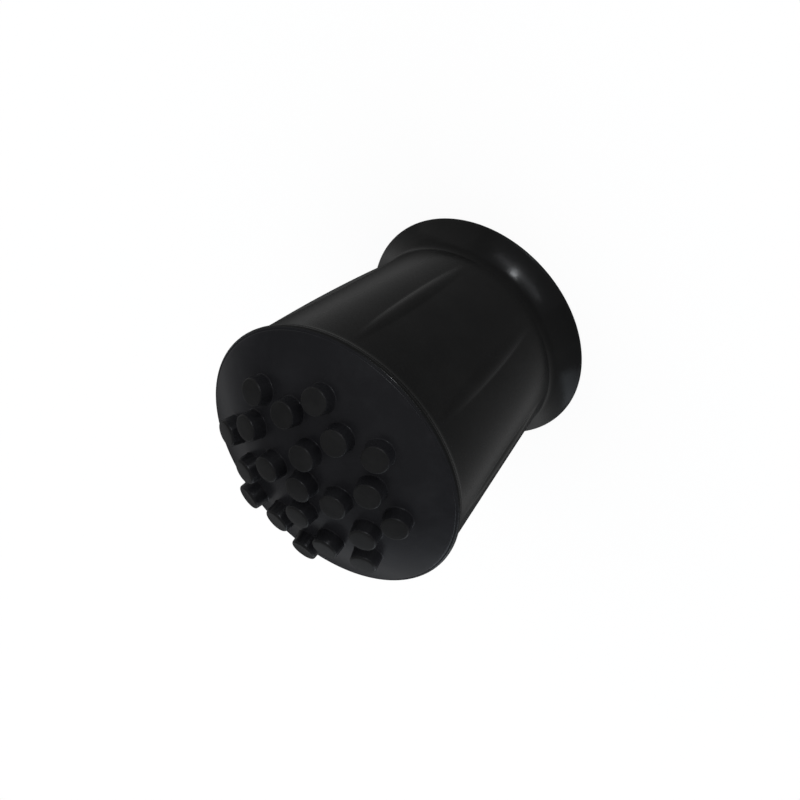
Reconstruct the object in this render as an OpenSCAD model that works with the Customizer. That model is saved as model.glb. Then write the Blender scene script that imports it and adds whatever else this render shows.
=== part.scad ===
// Rubber tip for the foot of a cane: flared mouth, tapered side with raised ribs,
// domed tread with round studs.  Millimetres, mouth down at Z = 0, tread up.

/* [Body] */
// outer radius of the tread edge
foot_r = 19; // [17:0.25:22]
// height of the tread edge over the mouth
foot_h = 34.3; // [30:0.5:42]
// radius the side would have at the mouth if it ran straight on
cone_r0 = 14.1; // [13:0.1:16]
// how far the tread edge stands out over the straight line of the side
foot_out = 0.42; // [0.2:0.05:1.5]
// radius of the hollow flare under the tread edge
foot_flare_r = 12; // [8:1:30]
// rounding of the tread edge
foot_edge_r = 0.45; // [0.2:0.05:0.8]

/* [Mouth] */
// outer radius of the mouth's lip
lip_r = 17.3; // [16:0.1:18.5]
// rounding of the lip
lip_edge_r = 0.3; // [0.2:0.05:0.8]
// lean of the flared rim where it leaves the lip, degrees from the axis
flare_lean = 44; // [38:1:50]
// radius of the rim's hollow flare
flare_r = 14; // [11:0.5:18]
// radius of the small hollow curve between flare and side
neck_r = 1; // [0.6:0.1:2]

/* [Shaft bore] */
// radius of the bore the shaft is pressed into
bore_r = 9.4; // [6:0.1:11]
// depth of the bore from the mouth
bore_depth = 28; // [15:0.5:30]
// width of the lead-in chamfer at the mouth
bore_lead = 0.8; // [0:0.1:1.5]

/* [Tread dome] */
// rise of the dome over the tread edge
dome_rise = 5.6; // [2:0.1:7]

/* [Studs] */
// radius of a stud's end face
stud_tip_r = 1.82; // [1:0.02:2]
// radius of a stud where it leaves the dome
stud_root_r = 1.92; // [1.2:0.02:2.2]
// height of a stud over the dome
stud_h = 2; // [0.8:0.1:3]
// rounding of a stud's end
stud_edge_r = 0.3; // [0.1:0.05:0.6]
// studs in the inner ring
ring_a_n = 4; // [3:1:6]
// lean of the inner ring's studs, degrees from the axis
ring_a_lean = 7.7; // [6.5:0.1:9]
// studs in each of the two outer rings
ring_bc_n = 8; // [5:1:9]
// lean of the middle ring's studs
ring_b_lean = 15.2; // [14:0.1:16]
// lean of the outer ring's studs
ring_c_lean = 19.9; // [19:0.1:21.5]
// direction of the middle ring's first stud
ring_b_turn = 6.5; // [-45:0.5:45]

/* [Side ribs] */
// height of a rib over the side at its middle
rib_h = 0.3; // [0.15:0.05:0.8]
// radius of a rib's round back
rib_r = 2.2; // [1:0.1:3.5]
// height over the mouth at which the ribs rise out of the side
rib_from = 7; // [5:0.5:12]
// distance below the tread edge at which the ribs have faded into the side
rib_stop = 2.5; // [1:0.1:8]
// number of ribs round the side
rib_n = 8; // [4:1:12]
// direction of the first rib
rib_turn = 27.5; // [0:0.5:45]

/* [Hidden] */
$fn = 96;
// side line r = cone_r0 + cone_grow * z and its outward normal
cone_grow = (foot_r - foot_out - cone_r0) / foot_h;
nr = 1 / sqrt(1 + cone_grow * cone_grow);
nz = -cone_grow * nr;
function side_r(z) = cone_r0 + cone_grow * z;
// height z at which the point that lies w outside the side is d away from point c
function meet_z(w, c, d) =
  let (gr = cone_r0 + nr * w - c[0], gz = nz * w - c[1],
       qa = 1 + cone_grow * cone_grow, qb = gr * cone_grow + gz, qc = gr * gr + gz * gz - d * d)
  (-qb - sqrt(qb * qb - qa * qc)) / qa;
function off_side(z, w) = [side_r(z) + nr * w, z + nz * w];
// flared rim: hollow curve that leaves the lip's rounding, and the small curve
// that joins it to the side
lip_c = [lip_r - lip_edge_r, lip_edge_r];
flare_n = [cos(flare_lean), sin(flare_lean)];
lip_touch = lip_c + lip_edge_r * flare_n;
flare_c = lip_touch + flare_r * flare_n;
neck_z = meet_z(neck_r, flare_c, flare_r - neck_r);
neck_c = off_side(neck_z, neck_r);
flare_top = neck_c + (neck_c - flare_c) * neck_r / (flare_r - neck_r);
// hollow flare under the tread edge
edge_c = [foot_r - foot_edge_r, foot_h];
foot_z = meet_z(foot_flare_r, edge_c, foot_flare_r + foot_edge_r);
foot_flare_c = off_side(foot_z, foot_flare_r);
edge_touch = edge_c + (foot_flare_c - edge_c) * foot_edge_r / (foot_flare_r + foot_edge_r);
// ball whose cap is the dome: its crown is dome_rise above the tread edge's centre line
ball_r = (edge_c[0] * edge_c[0] + dome_rise * dome_rise - foot_edge_r * foot_edge_r)
         / (2 * (dome_rise - foot_edge_r));
ball_z = foot_h + dome_rise - ball_r;
edge_out = (edge_c - [0, ball_z]) / (ball_r - foot_edge_r);
// rib: arc whose back sinks into the side at both ends
rib_mid_z = (rib_from + foot_h - rib_stop) / 2;
rib_fade = (foot_h - rib_stop - rib_from) / 2;
rib_bow = rib_fade * rib_fade / (2 * rib_h) - rib_r;
rib_span = 2 * asin((rib_fade + 1) / (rib_bow + rib_r));

tip();

module tip()
  color([0.05, 0.05, 0.055])
    difference() {
      union() {
        rotate_extrude() outline();
        studs();
        ribs();
      }
      shaft_bore();
    }

// half section of the outside
module outline() {
  polygon([[0, 0], [lip_c[0], 0], lip_c, [side_r(neck_z) - 1, neck_z], [side_r(neck_z), neck_z],
           [side_r(foot_z), foot_z], [edge_c[0] - foot_edge_r / 2, foot_h], [0, foot_h]]);
  translate(lip_c) circle(lip_edge_r);
  difference() {
    polygon([lip_c, lip_touch, flare_c, flare_top, neck_c, [side_r(neck_z), neck_z],
             [side_r(neck_z) - 2, neck_z]]);
    translate(flare_c) circle(flare_r);
    translate(neck_c) circle(neck_r);
  }
  translate(edge_c) circle(foot_edge_r);
  difference() {
    polygon([edge_c, edge_touch, foot_flare_c, [side_r(foot_z), foot_z],
             [side_r(foot_z) - 1, foot_z], [side_r(foot_h) - 1, foot_h]]);
    translate(foot_flare_c) circle(foot_flare_r);
  }
  intersection() {
    translate([0, ball_z]) circle(ball_r);
    polygon([[0, foot_h - 1], [edge_c[0] - 1, foot_h - 1], edge_c,
             edge_c + edge_out * 4, [0, ball_z + ball_r + 3]]);
  }
}

module stud() {
  rotate_extrude() {
    polygon([[0, -1], [stud_root_r, -1], [stud_root_r, 0],
             [stud_tip_r, stud_h - stud_edge_r], [0, stud_h - stud_edge_r]]);
    square([stud_tip_r - stud_edge_r, stud_h]);
    translate([stud_tip_r - stud_edge_r, stud_h - stud_edge_r]) circle(stud_edge_r);
  }
}

module stud_ring(n, lean, turn)
  for (i = [0 : n - 1])
    rotate([0, 0, turn + i * 360 / n])
      translate([0, 0, ball_z])
        rotate([0, lean, 0])
          translate([0, 0, ball_r]) stud();

module studs() {
  translate([0, 0, ball_z + ball_r]) stud();
  stud_ring(ring_a_n, ring_a_lean, ring_b_turn + 180 / ring_bc_n);
  stud_ring(ring_bc_n, ring_b_lean, ring_b_turn);
  stud_ring(ring_bc_n, ring_c_lean, ring_b_turn + 180 / ring_bc_n);
}

module rib()
  translate([side_r(rib_mid_z), 0, rib_mid_z])
    rotate([0, atan(cone_grow), 0])
      translate([rib_h - rib_r - rib_bow, 0, 0])
        rotate([90, 0, 0])
          rotate([0, 0, -rib_span / 2])
            rotate_extrude(angle = rib_span)
              translate([rib_bow, 0]) circle(rib_r);

module ribs()
  for (i = [0 : rib_n - 1])
    rotate([0, 0, rib_turn + i * 360 / rib_n]) rib();

module shaft_bore() {
  translate([0, 0, -1]) cylinder(r = bore_r, h = bore_depth + 1);
  translate([0, 0, -1]) cylinder(r1 = bore_r + bore_lead + 1, r2 = bore_r, h = bore_lead + 1);
}
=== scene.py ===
"""Looks of a rubber cane tip: one moulding of satin black rubber, on a pale floor.

Sizes are in millimetres and turn into metres when the mesh is made.  The tip stands on its
mouth: Z = 0 is the mouth face and +Z runs to the tread.
"""
import math

import bpy
from mathutils import Matrix, Vector, geometry


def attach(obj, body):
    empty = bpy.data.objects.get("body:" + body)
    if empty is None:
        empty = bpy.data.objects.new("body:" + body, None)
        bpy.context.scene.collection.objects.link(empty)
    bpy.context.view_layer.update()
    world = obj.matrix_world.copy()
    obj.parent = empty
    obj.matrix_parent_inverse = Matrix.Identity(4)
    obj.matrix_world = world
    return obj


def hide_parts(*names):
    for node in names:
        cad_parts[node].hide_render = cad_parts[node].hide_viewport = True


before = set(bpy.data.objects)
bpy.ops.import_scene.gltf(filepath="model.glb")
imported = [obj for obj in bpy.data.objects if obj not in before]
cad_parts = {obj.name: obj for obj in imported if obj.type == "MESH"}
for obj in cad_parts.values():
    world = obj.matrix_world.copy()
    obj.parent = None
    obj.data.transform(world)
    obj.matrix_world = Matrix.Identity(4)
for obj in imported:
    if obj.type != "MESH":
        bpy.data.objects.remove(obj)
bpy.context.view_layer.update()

MM = 0.001

# body
FOOT_R = 19.0
FOOT_H = 34.3
CONE_R0 = 14.1
FOOT_OUT = 0.42
FOOT_FLARE_R = 2.2
FOOT_EDGE_R = 0.45
# mouth
LIP_R = 17.3
LIP_EDGE_R = 0.3
FLARE_LEAN = 44.0
FLARE_R = 14.0
NECK_R = 2.5
# shaft bore
BORE_R = 9.4
BORE_DEPTH = 28.0
BORE_LEAD = 0.8
BORE_CORNER_R = 0.3
# tread
DOME_RISE = 5.6
GROOVE_IN = 0.16
GROOVE_HALF = 0.12
GROOVE_DEPTH = 0.05
TREAD_FROM = FOOT_H + 0.3
STUD_TIP_R = 1.82
STUD_ROOT_R = 1.92
STUD_H = 2.0
STUD_EDGE_R = 0.3
STUD_FILLET_R = 0.14
STUD_END_FROM = STUD_H - 0.4 * STUD_EDGE_R
RING_TURN = 6.5
HALF_STEP = 22.5
STUD_RINGS = (
    (1, 0.0, 0.0),
    (4, 7.7, RING_TURN + HALF_STEP),
    (8, 15.2, RING_TURN),
    (8, 19.9, RING_TURN + HALF_STEP),
)
# side ribs
RIB_H = 0.3
RIB_R = 2.2
RIB_FROM = 7.0
RIB_STOP = 2.5
RIB_BLEND = 0.05
RIB_REACH = 1.25
RIB_COUNT = 8
RIB_TURN = 27.5
RIB_ANGLES = [RIB_TURN + 360.0 * i / RIB_COUNT for i in range(RIB_COUNT)]

# fineness of the mesh
SIDE_STEP_DEG = 1.5
RIB_STEP_DEG = 0.375
RIB_BAND_DEG = 6.0
STUD_COLUMNS = 40
DOME_STEP = 0.6

CONE_GROW = (FOOT_R - FOOT_OUT - CONE_R0) / FOOT_H
NORMAL_R = 1.0 / math.hypot(1.0, CONE_GROW)
NORMAL_Z = -CONE_GROW * NORMAL_R
BALL_R = ((FOOT_R - FOOT_EDGE_R) ** 2 + DOME_RISE**2 - FOOT_EDGE_R**2) / (
    2.0 * (DOME_RISE - FOOT_EDGE_R)
)
BALL_Z = FOOT_H + DOME_RISE - BALL_R


def side_r(z):
    """Radius of the tapered side at height z."""
    return CONE_R0 + CONE_GROW * z


def off_side(z, out):
    """Point that lies out from the side's point at height z."""
    return Vector((side_r(z) + NORMAL_R * out, z + NORMAL_Z * out))


def meet_z(out, centre, far):
    """Height z at which the point that lies out from the side is far away from the centre."""
    gap_r = CONE_R0 + NORMAL_R * out - centre.x
    gap_z = NORMAL_Z * out - centre.y
    a = 1.0 + CONE_GROW**2
    b = gap_r * CONE_GROW + gap_z
    c = gap_r**2 + gap_z**2 - far**2
    return (-b - math.sqrt(b * b - a * c)) / a


def arc(centre, radius, start, end, steps):
    """Points on an arc from one direction to another, without the first."""
    first = math.atan2(start.y, start.x)
    turn = math.atan2(end.y, end.x) - first
    turn = (turn + math.pi) % (2.0 * math.pi) - math.pi
    points = []
    for i in range(1, steps + 1):
        angle = first + turn * i / steps
        points.append(centre + radius * Vector((math.cos(angle), math.sin(angle))))
    return points


def line(start, end, steps):
    """Points from start to end, without the first."""
    return [start.lerp(end, i / steps) for i in range(1, steps + 1)]


def bore_section():
    """Half section of the bore, from its closed end out to the mouth face."""
    end = Vector((BORE_R - BORE_CORNER_R, BORE_DEPTH))
    centre = Vector((BORE_R - BORE_CORNER_R, BORE_DEPTH - BORE_CORNER_R))
    points = [Vector((BORE_R * 0.5, BORE_DEPTH)), end]
    points += arc(centre, BORE_CORNER_R, Vector((0, 1)), Vector((1, 0)), 4)
    points += line(points[-1], Vector((BORE_R, BORE_LEAD)), 6)
    points += line(points[-1], Vector((BORE_R + BORE_LEAD, 0.0)), 3)
    return points


def groove_section():
    """Fine mould line just inside the tread edge: distance in from the edge, and depth."""
    points = []
    for step in range(-4, 5):
        share = step / 4.0
        depth = GROOVE_DEPTH * (1.0 + math.cos(math.pi * share)) / 2.0
        points.append((GROOVE_IN + share * GROOVE_HALF, depth))
    return points + [(GROOVE_IN + 2.5 * GROOVE_HALF, 0.0), (GROOVE_IN + 5.0 * GROOVE_HALF, 0.0)]


def outside_section():
    """Half section of the outside, from the lip up to the rim of the dome."""
    lip = Vector((LIP_R - LIP_EDGE_R, LIP_EDGE_R))
    flare = Vector((math.cos(math.radians(FLARE_LEAN)), math.sin(math.radians(FLARE_LEAN))))
    hollow = lip + (LIP_EDGE_R + FLARE_R) * flare
    neck_z = meet_z(NECK_R, hollow, FLARE_R - NECK_R)
    curve = off_side(neck_z, NECK_R)
    neck = Vector((side_r(neck_z), neck_z))
    edge = Vector((FOOT_R - FOOT_EDGE_R, FOOT_H))
    foot_z = meet_z(FOOT_FLARE_R, edge, FOOT_FLARE_R + FOOT_EDGE_R)
    foot_flare = off_side(foot_z, FOOT_FLARE_R)
    foot = Vector((side_r(foot_z), foot_z))
    ball = Vector((0.0, BALL_Z))
    points = [Vector((lip.x, 0.0))]
    points += arc(lip, LIP_EDGE_R, Vector((0, -1)), flare, 10)
    points += arc(hollow, FLARE_R, -flare, curve - hollow, 10)
    points += arc(curve, NECK_R, curve - hollow, neck - curve, 8)
    points += line(neck, foot, 34)
    points += arc(foot_flare, FOOT_FLARE_R, foot - foot_flare, edge - foot_flare, 8)
    points += arc(edge, FOOT_EDGE_R, foot_flare - edge, edge - ball, 10)
    outward = edge - ball
    lean = math.atan2(outward.x, outward.y)
    for distance, depth in groove_section():
        angle = lean - distance / BALL_R
        reach = BALL_R - depth
        points.append(Vector((reach * math.sin(angle), BALL_Z + reach * math.cos(angle))))
    return points


def soft_max(value, blend):
    """The larger of value and 0, with the corner between them rounded."""
    return (value + math.sqrt(value * value + blend * blend)) / 2.0


def rib_rise(angle, z):
    """How far a rib stands out of the side at this direction and height."""
    middle = (RIB_FROM + FOOT_H - RIB_STOP) / 2.0
    fade = (FOOT_H - RIB_STOP - RIB_FROM) / 2.0
    reach = (z - middle) / fade
    if abs(reach) > RIB_REACH:
        return 0.0
    away = min(abs((angle - rib + 180.0) % 360.0 - 180.0) for rib in RIB_ANGLES)
    if away > RIB_BAND_DEG:
        return 0.0
    across = math.radians(away) * side_r(z)
    back = RIB_H * (1.0 - reach**2) - across**2 / (2.0 * RIB_R)
    flat = -RIB_H
    return soft_max(back, RIB_BLEND) - soft_max(flat, RIB_BLEND)


def column_angles():
    """Directions of the mesh's columns, close together at the ribs."""
    angles = set()
    for i in range(int(360 / SIDE_STEP_DEG)):
        angle = i * SIDE_STEP_DEG
        away = min(abs((angle - rib + 180.0) % 360.0 - 180.0) for rib in RIB_ANGLES)
        if away > RIB_BAND_DEG:
            angles.add(round(angle, 4))
    steps = int(RIB_BAND_DEG / RIB_STEP_DEG)
    for rib in RIB_ANGLES:
        for i in range(-steps, steps + 1):
            angles.add(round((rib + i * RIB_STEP_DEG) % 360.0, 4))
    return sorted(angles)


SIDE, TREAD, END, BORE = 0, 1, 2, 3


class Skin:
    """Points and faces of one closed mesh; each face carries the number of its finish."""

    def __init__(self):
        self.points = []
        self.faces = []
        self.finishes = []

    def add(self, points):
        first = len(self.points)
        self.points += points
        return list(range(first, len(self.points)))

    def face(self, corners, finish):
        self.faces.append(corners)
        self.finishes.append(finish)

    def band(self, low, high, finish):
        for i in range(len(low)):
            j = (i + 1) % len(low)
            self.face((low[i], low[j], high[j], high[i]), finish)

    def fan(self, ring, tip, finish):
        for i in range(len(ring)):
            self.face((ring[i], ring[(i + 1) % len(ring)], tip), finish)


def turned_ring(radius, z, angles, ribbed=False):
    """One ring of the turned body, pushed out where a rib crosses it."""
    ring = []
    for angle in angles:
        r = radius + (rib_rise(angle, z) if ribbed else 0.0)
        a = math.radians(angle)
        ring.append(Vector((r * math.cos(a), r * math.sin(a), z)))
    return ring


def stud_axes():
    """Direction of every stud's axis from the centre of the dome's ball."""
    axes = []
    for count, lean, turn in STUD_RINGS:
        for i in range(count):
            a = math.radians(turn + 360.0 * i / count)
            b = math.radians(lean)
            axes.append(Vector((math.sin(b) * math.cos(a), math.sin(b) * math.sin(a), math.cos(b))))
    return axes


def stud_section():
    """Distance from the axis and height over the dome, from the root to the end face."""
    root = STUD_ROOT_R + STUD_FILLET_R
    hollow = Vector((root, STUD_FILLET_R))
    points = arc(hollow, STUD_FILLET_R, Vector((0, -1)), Vector((-1, 0)), 5)
    points += line(points[-1], Vector((STUD_TIP_R, STUD_H - STUD_EDGE_R)), 2)
    edge = Vector((STUD_TIP_R - STUD_EDGE_R, STUD_H - STUD_EDGE_R))
    points += arc(edge, STUD_EDGE_R, Vector((1, 0)), Vector((0, 1)), 7)
    points += line(points[-1], Vector((0.3, STUD_H)), 2)
    return root, points


def around(axis, distance, height):
    """A ring round a stud's axis, at this distance from it and height over the dome."""
    across = axis.cross(Vector((0.3, 1.0, 0.0))).normalized()
    along = axis.cross(across)
    drop = BALL_R - math.sqrt(BALL_R**2 - distance**2)
    middle = Vector((0.0, 0.0, BALL_Z)) + axis * (BALL_R - drop + height)
    ring = []
    for i in range(STUD_COLUMNS):
        a = 2.0 * math.pi * i / STUD_COLUMNS
        ring.append(middle + distance * (math.cos(a) * across + math.sin(a) * along))
    return ring


def add_stud(skin, axis, finish):
    """One stud with its root fillet; gives back the ring it shares with the dome."""
    root, section = stud_section()
    foot = skin.add(around(axis, root, 0.0))
    low = foot
    for distance, height in section:
        high = skin.add(around(axis, distance, height))
        skin.band(low, high, END if height > STUD_END_FROM else finish)
        low = high
    tip = skin.add([Vector((0.0, 0.0, BALL_Z)) + axis * (BALL_R + STUD_H)])[0]
    skin.fan(low, tip, END)
    return foot


def dome_fill(rim_r, axes):
    """Points of a triangle pattern on the dome, clear of its rim and of the studs."""
    points = []
    row_step = DOME_STEP * math.sqrt(0.75)
    clear = (STUD_ROOT_R + STUD_FILLET_R + 0.4 * DOME_STEP) / BALL_R
    rows = int(rim_r / row_step)
    for row in range(-rows, rows + 1):
        shift = DOME_STEP / 2.0 if row % 2 else 0.0
        for column in range(-int(rim_r / DOME_STEP) - 1, int(rim_r / DOME_STEP) + 2):
            x = column * DOME_STEP + shift
            y = row * row_step
            if math.hypot(x, y) > rim_r - 0.6 * DOME_STEP:
                continue
            z = math.sqrt(BALL_R**2 - x * x - y * y)
            direction = Vector((x, y, z)) / BALL_R
            if min(direction.angle(axis) for axis in axes) > clear:
                points.append(Vector((x, y, BALL_Z + z)))
    return points


def add_dome(skin, rim, feet, axes, finish):
    """The dome between its rim and the studs' feet, as triangles that share their rings."""
    rim_r = skin.points[rim[0]].xy.length
    fill = skin.add(dome_fill(rim_r, axes))
    order = rim + [i for foot in feet for i in foot] + fill
    loops = [rim] + feet
    edges = []
    start = 0
    owner = {}
    for number, loop in enumerate(loops):
        for i in range(len(loop)):
            edges.append((start + i, start + (i + 1) % len(loop)))
            owner[loop[i]] = number
        start += len(loop)
    flat = [skin.points[i].xy for i in order]
    made = geometry.delaunay_2d_cdt(flat, edges, [], 0, 1e-6)
    back = [order[source[0]] for source in made[3]]
    for triangle in made[2]:
        corners = [back[i] for i in triangle]
        owners = {owner.get(i, -1) for i in corners}
        inside_stud = len(owners) == 1 and owners != {-1} and owners != {0}
        if not inside_stud:
            skin.face(corners, finish)


def tip_skin():
    """The whole moulding: bore, lip, ribbed side, tread edge, dome and studs."""
    skin = Skin()
    angles = column_angles()
    end = skin.add([Vector((0.0, 0.0, BORE_DEPTH))])[0]
    low = None
    for point in bore_section():
        high = skin.add(turned_ring(point.x, point.y, angles))
        if low is None:
            skin.fan(high, end, BORE)
        else:
            skin.band(low, high, BORE)
        low = high
    for point in outside_section():
        high = skin.add(turned_ring(point.x, point.y, angles, ribbed=True))
        finish = TREAD if point.y > TREAD_FROM else SIDE
        skin.band(low, high, finish)
        low = high
    axes = stud_axes()
    feet = [add_stud(skin, axis, TREAD) for axis in axes]
    add_dome(skin, low, feet, axes, TREAD)
    return skin


def make_piece(name, skin, finishes):
    """A mesh object in metres from a skin, smooth shaded, with one slot for each finish."""
    mesh = bpy.data.meshes.new(name)
    mesh.from_pydata([p * MM for p in skin.points], [], skin.faces)
    for finish in finishes:
        mesh.materials.append(finish)
    mesh.polygons.foreach_set("material_index", skin.finishes)
    mesh.polygons.foreach_set("use_smooth", [True] * len(mesh.polygons))
    mesh.validate()
    piece = bpy.data.objects.new(name, mesh)
    bpy.context.scene.collection.objects.link(piece)
    bpy.context.view_layer.objects.active = piece
    piece.select_set(True)
    bpy.ops.object.mode_set(mode="EDIT")
    bpy.ops.mesh.select_all(action="SELECT")
    bpy.ops.mesh.normals_make_consistent(inside=False)
    bpy.ops.object.mode_set(mode="OBJECT")
    return piece


# ---------------------------------------------------------------- finishes


def add_node(tree, kind, **settings):
    """A shader node with its properties set and its inputs given by name."""
    node = tree.nodes.new(kind)
    inputs = settings.pop("inputs", {})
    for name, value in settings.items():
        setattr(node, name, value)
    for name, value in inputs.items():
        if isinstance(value, bpy.types.NodeSocket):
            tree.links.new(value, node.inputs[name])
        else:
            node.inputs[name].default_value = value
    return node


def combine(tree, operation, first, second):
    """The result of a maths node on two values, each a socket or a number."""
    node = add_node(tree, "ShaderNodeMath", operation=operation)
    for socket, value in zip(node.inputs, (first, second)):
        if isinstance(value, bpy.types.NodeSocket):
            tree.links.new(value, socket)
        else:
            socket.default_value = value
    return node.outputs[0]


def ramp(tree, value, start, end, low=0.0, high=1.0, soft=False):
    """A value carried from the range start to end over to low to high, held at both ends."""
    reach = {"Value": value, "From Min": start, "From Max": end, "To Min": low, "To Max": high}
    node = add_node(tree, "ShaderNodeMapRange", inputs=reach)
    if soft:
        node.interpolation_type = "SMOOTHSTEP"
    return node.outputs["Result"]


def noise(tree, place, scale, detail, roughness):
    """A noise pattern over the piece, in 0 to 1."""
    values = {"Vector": place, "Scale": scale, "Detail": detail, "Roughness": roughness}
    return add_node(tree, "ShaderNodeTexNoise", inputs=values).outputs["Fac"]


def new_group(name, inputs, outputs):
    """An empty shader node group with named float inputs and outputs."""
    tree = bpy.data.node_groups.new(name, "ShaderNodeTree")
    for label, value in inputs.items():
        socket = tree.interface.new_socket(label, in_out="INPUT", socket_type="NodeSocketFloat")
        socket.default_value = value
    for label in outputs:
        tree.interface.new_socket(label, in_out="OUTPUT", socket_type="NodeSocketFloat")
    return tree, tree.nodes.new("NodeGroupInput"), tree.nodes.new("NodeGroupOutput")


def grain_group():
    """Fine grain of moulded rubber over a slow unevenness, as a height in 0 to 1."""
    values = {"Fineness": 1.0, "Waviness": 0.5}
    tree, source, result = new_group("moulded grain", values, ["Height", "Speckle"])
    place = add_node(tree, "ShaderNodeTexCoord").outputs["Object"]
    fine_scale = combine(tree, "MULTIPLY", source.outputs["Fineness"], 4200.0)
    fine = noise(tree, place, fine_scale, 3.0, 0.6)
    slow = noise(tree, place, 420.0, 2.0, 0.5)
    mix = add_node(tree, "ShaderNodeMix", data_type="FLOAT")
    tree.links.new(source.outputs["Waviness"], mix.inputs["Factor"])
    tree.links.new(fine, mix.inputs["A"])
    tree.links.new(slow, mix.inputs["B"])
    tree.links.new(mix.outputs["Result"], result.inputs["Height"])
    tree.links.new(fine, result.inputs["Speckle"])
    return tree


def marks_group():
    """Faint dust and handling marks, as a mask in 0 to 1."""
    tree, source, result = new_group("handling marks", {"Amount": 0.3}, ["Mask"])
    place = add_node(tree, "ShaderNodeTexCoord").outputs["Object"]
    patches = ramp(tree, noise(tree, place, 160.0, 5.0, 0.65), 0.45, 0.75)
    mask = combine(tree, "MULTIPLY", patches, source.outputs["Amount"])
    tree.links.new(mask, result.inputs["Mask"])
    return tree


def rubber(name, groups, colours, roughness, grain_values, marks, bump, gloss):
    """Black rubber: grain and marks steer colour, roughness and bump."""
    clean, dusty = colours
    smooth, dull = roughness
    material = bpy.data.materials.new(name)
    material.use_nodes = True
    tree = material.node_tree
    shader = tree.nodes["Principled BSDF"]
    grain = add_node(tree, "ShaderNodeGroup", node_tree=groups["grain"], inputs=grain_values)
    wear = add_node(tree, "ShaderNodeGroup", node_tree=groups["marks"], inputs={"Amount": marks})
    mask = wear.outputs["Mask"]
    colour = add_node(tree, "ShaderNodeMix", data_type="RGBA", inputs={"Factor": mask})
    colour.inputs["A"].default_value = (*clean, 1.0)
    colour.inputs["B"].default_value = (*dusty, 1.0)
    tree.links.new(colour.outputs["Result"], shader.inputs["Base Color"])
    worn = ramp(tree, mask, 0.0, 1.0, smooth, dull)
    speck = ramp(tree, grain.outputs["Speckle"], 0.3, 0.7, -0.02, 0.02)
    facing = add_node(tree, "ShaderNodeLayerWeight", inputs={"Blend": 0.5}).outputs["Facing"]
    edge = ramp(tree, facing, 0.58, 1.0, 0.0, 0.7, soft=True)
    total = combine(tree, "ADD", combine(tree, "ADD", worn, speck), edge)
    tree.links.new(total, shader.inputs["Roughness"])
    relief = add_node(tree, "ShaderNodeBump", inputs={"Height": grain.outputs["Height"]})
    relief.inputs["Strength"].default_value = bump
    relief.inputs["Distance"].default_value = 0.00003
    tree.links.new(relief.outputs["Normal"], shader.inputs["Normal"])
    shader.inputs["Specular IOR Level"].default_value = gloss
    return material


def finishes():
    """The moulding's finishes: polished side, tread with a painted bluish sheen in its colour, scuffed
    stud ends and dull bore.
    """
    groups = {"grain": grain_group(), "marks": marks_group()}
    fine = {"Fineness": 1.0, "Waviness": 0.5}
    coarse = {"Fineness": 0.8, "Waviness": 0.3}
    side = rubber(
        "side rubber",
        groups,
        colours=((0.0049, 0.0049, 0.0048), (0.0093, 0.0093, 0.0091)),
        roughness=(0.18, 0.25),
        grain_values=fine,
        marks=0.3,
        bump=0.3,
        gloss=0.0165,
    )
    # The tread's colours are lighter than the side's and tinted blue. This is a painted bluish sheen
    # standing in for reflected light on the dome; the dusty colour also carries the real dust patches.
    tread = rubber(
        "tread rubber",
        groups,
        colours=((0.0070, 0.0070, 0.0078), (0.0156, 0.0158, 0.0170)),
        roughness=(0.30, 0.42),
        grain_values=fine,
        marks=0.4,
        bump=0.4,
        gloss=0.026,
    )
    end = rubber(
        "stud end rubber",
        groups,
        colours=((0.0062, 0.0062, 0.0062), (0.0124, 0.0124, 0.0124)),
        roughness=(0.38, 0.50),
        grain_values=coarse,
        marks=0.6,
        bump=0.5,
        gloss=0.024,
    )
    bore = rubber(
        "bore rubber",
        groups,
        colours=((0.0070, 0.0070, 0.0072), (0.012, 0.012, 0.012)),
        roughness=(0.60, 0.70),
        grain_values=coarse,
        marks=0.3,
        bump=0.6,
        gloss=0.03,
    )
    return [side, tread, end, bore]


# ---------------------------------------------------------------- floor, light, camera


def floor_material():
    """Pale floor that shows white to the eye, keeps the shadow, and is clear from below."""
    material = bpy.data.materials.new("pale floor")
    material.use_nodes = True
    tree = material.node_tree
    shader = tree.nodes["Principled BSDF"]
    shader.inputs["Base Color"].default_value = (0.82, 0.82, 0.82, 1.0)
    shader.inputs["Roughness"].default_value = 0.9
    white = add_node(tree, "ShaderNodeEmission", inputs={"Color": (1.0, 1.0, 1.0, 1.0), "Strength": 1.0})
    rays = add_node(tree, "ShaderNodeLightPath")
    seen = combine(tree, "MAXIMUM", rays.outputs["Is Camera Ray"], rays.outputs["Is Glossy Ray"])
    shown = combine(tree, "MAXIMUM", seen, rays.outputs["Is Transmission Ray"])
    share = combine(tree, "MULTIPLY", shown, 0.92)
    lit = add_node(tree, "ShaderNodeMixShader")
    tree.links.new(share, lit.inputs["Fac"])
    tree.links.new(shader.outputs["BSDF"], lit.inputs[1])
    tree.links.new(white.outputs["Emission"], lit.inputs[2])
    clear = add_node(tree, "ShaderNodeBsdfTransparent")
    side = add_node(tree, "ShaderNodeNewGeometry")
    both = add_node(tree, "ShaderNodeMixShader")
    tree.links.new(side.outputs["Backfacing"], both.inputs["Fac"])
    tree.links.new(lit.outputs["Shader"], both.inputs[1])
    tree.links.new(clear.outputs["BSDF"], both.inputs[2])
    tree.links.new(both.outputs["Shader"], tree.nodes["Material Output"].inputs["Surface"])
    return material


def make_floor():
    """A wide floor, a hair below the mouth so that the two faces don't share one plane."""
    size = 4.0
    low = -0.02 * MM
    mesh = bpy.data.meshes.new("floor")
    corners = [(-size, -size, low), (size, -size, low), (size, size, low), (-size, size, low)]
    mesh.from_pydata(corners, [], [(0, 1, 2, 3)])
    mesh.materials.append(floor_material())
    floor = bpy.data.objects.new("floor", mesh)
    bpy.context.scene.collection.objects.link(floor)


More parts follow.
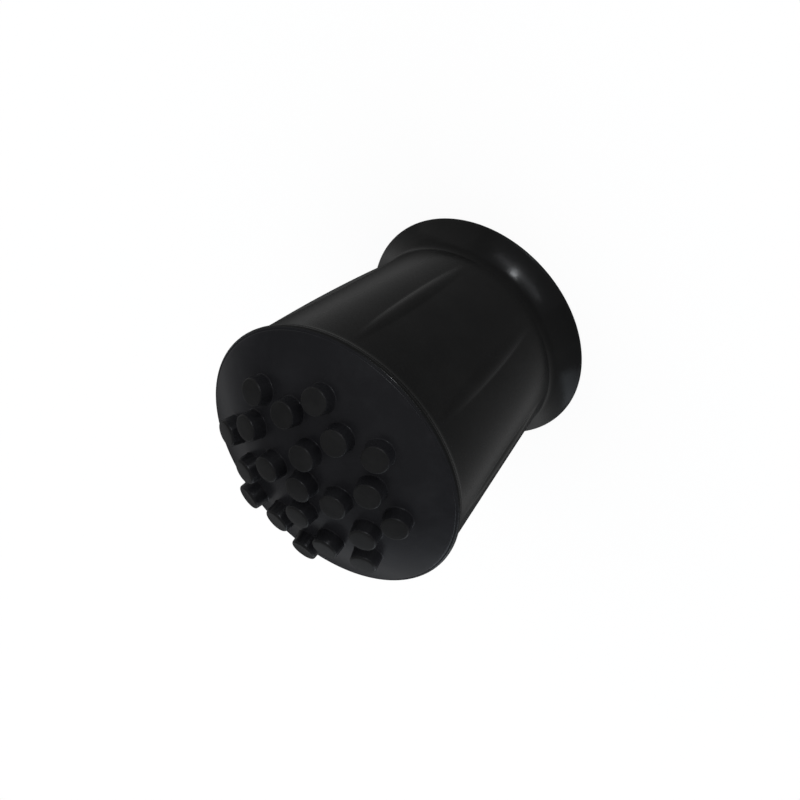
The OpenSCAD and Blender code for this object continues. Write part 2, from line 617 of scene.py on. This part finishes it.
def make_world():
    """Soft room light: even round the horizon, stronger in front and right overhead."""
    world = bpy.data.worlds.new("room")
    bpy.context.scene.world = world
    world.use_nodes = True
    tree = world.node_tree
    background = tree.nodes["Background"]
    place = add_node(tree, "ShaderNodeTexCoord").outputs["Generated"]
    split = add_node(tree, "ShaderNodeSeparateXYZ", inputs={"Vector": place})
    height = split.outputs["Z"]
    level = ramp(tree, height, 0.05, 0.5, 1.0, 0.35)
    front = ramp(tree, split.outputs["Y"], 0.35, -0.3, soft=True)
    band = ramp(tree, height, 0.75, 0.3, high=0.9, soft=True)
    top = ramp(tree, height, 0.5, 0.95, high=1.1, soft=True)
    most = combine(tree, "ADD", level, combine(tree, "MULTIPLY", front, band))
    tree.links.new(combine(tree, "ADD", most, top), background.inputs["Strength"])
    background.inputs["Color"].default_value = (0.96, 0.97, 1.0, 1.0)


def lamp(name, place, aim, width, height, power, colour, spread=True):
    """A soft lamp at a place, in metres, turned towards a point of the object.

    With spread off it is seen in the gloss only and adds nothing to the light level.
    """
    data = bpy.data.lights.new(name, "AREA")
    data.shape = "RECTANGLE"
    data.size = width
    data.size_y = height
    data.energy = power
    data.color = colour
    light = bpy.data.objects.new(name, data)
    light.location = place
    light.rotation_euler = (Vector(aim) - Vector(place)).to_track_quat("-Z", "Y").to_euler()
    light.visible_diffuse = spread
    bpy.context.scene.collection.objects.link(light)
    return light


def make_lamps():
    """Three lamps in front that only draw the gloss, and four soft ones round the tip."""
    middle = (0.0, 0.0, 0.018)
    lamp("front window", (0.07, -0.54, 0.178), middle, 0.54, 0.035, 1.9, (0.91, 0.94, 1.0), spread=False)
    lamp("front spot", (0.114, -0.53, 0.136), middle, 0.018, 0.018, 3.1, (0.93, 0.96, 1.0), spread=False)
    lamp("window glow", (0.04, -0.52, 0.25), middle, 0.8, 0.34, 1.3, (0.91, 0.935, 1.0), spread=False)
    lamp("right glow", (0.5, -0.05, 0.12), middle, 0.5, 0.3, 0.7, (1.0, 0.99, 0.96))
    lamp("overhead", (-0.15, -0.1, 0.8), middle, 0.6, 0.6, 0.5, (1.0, 1.0, 1.0))
    lamp("far sheen", (-0.3, 0.5, 0.28), middle, 0.5, 0.3, 0.5, (0.85, 0.92, 1.0))
    lamp("side sheen", (-0.45, 0.2, 0.07), middle, 0.45, 0.14, 1.4, (0.82, 0.91, 1.0))


def make_camera():
    """Camera above the front, rolled so that the tip lies slantwise with its tread low left."""
    lens_px = 1300.0
    frame_px = 800.0
    elevation = math.radians(40.699)
    roll = math.radians(-132.423)
    middle_px = Vector((411.54, 385.86))
    distance = 0.17574
    aim = Vector((0.0, 0.0, 0.016344))
    back = Vector((0.0, -math.cos(elevation), math.sin(elevation)))
    right = Vector((1.0, 0.0, 0.0))
    down = (-back).cross(right)
    turned_right = math.cos(roll) * right - math.sin(roll) * down
    turned_down = math.sin(roll) * right + math.cos(roll) * down
    offset = (middle_px - Vector((frame_px / 2, frame_px / 2))) / lens_px * distance
    data = bpy.data.cameras.new("camera")
    data.sensor_width = 36.0
    data.lens = lens_px * data.sensor_width / frame_px
    data.clip_start = 0.005
    camera = bpy.data.objects.new("camera", data)
    place = aim + back * distance - turned_right * offset.x - turned_down * offset.y
    turn = Matrix((turned_right, -turned_down, back)).transposed()
    camera.matrix_world = Matrix.Translation(place) @ turn.to_4x4()
    bpy.context.scene.collection.objects.link(camera)
    bpy.context.scene.camera = camera


tip = make_piece("rubber_tip", tip_skin(), finishes())
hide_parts("tip")
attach(tip, "root")
make_floor()
make_world()
make_lamps()
make_camera()
bpy.context.scene.view_settings.view_transform = "Standard"
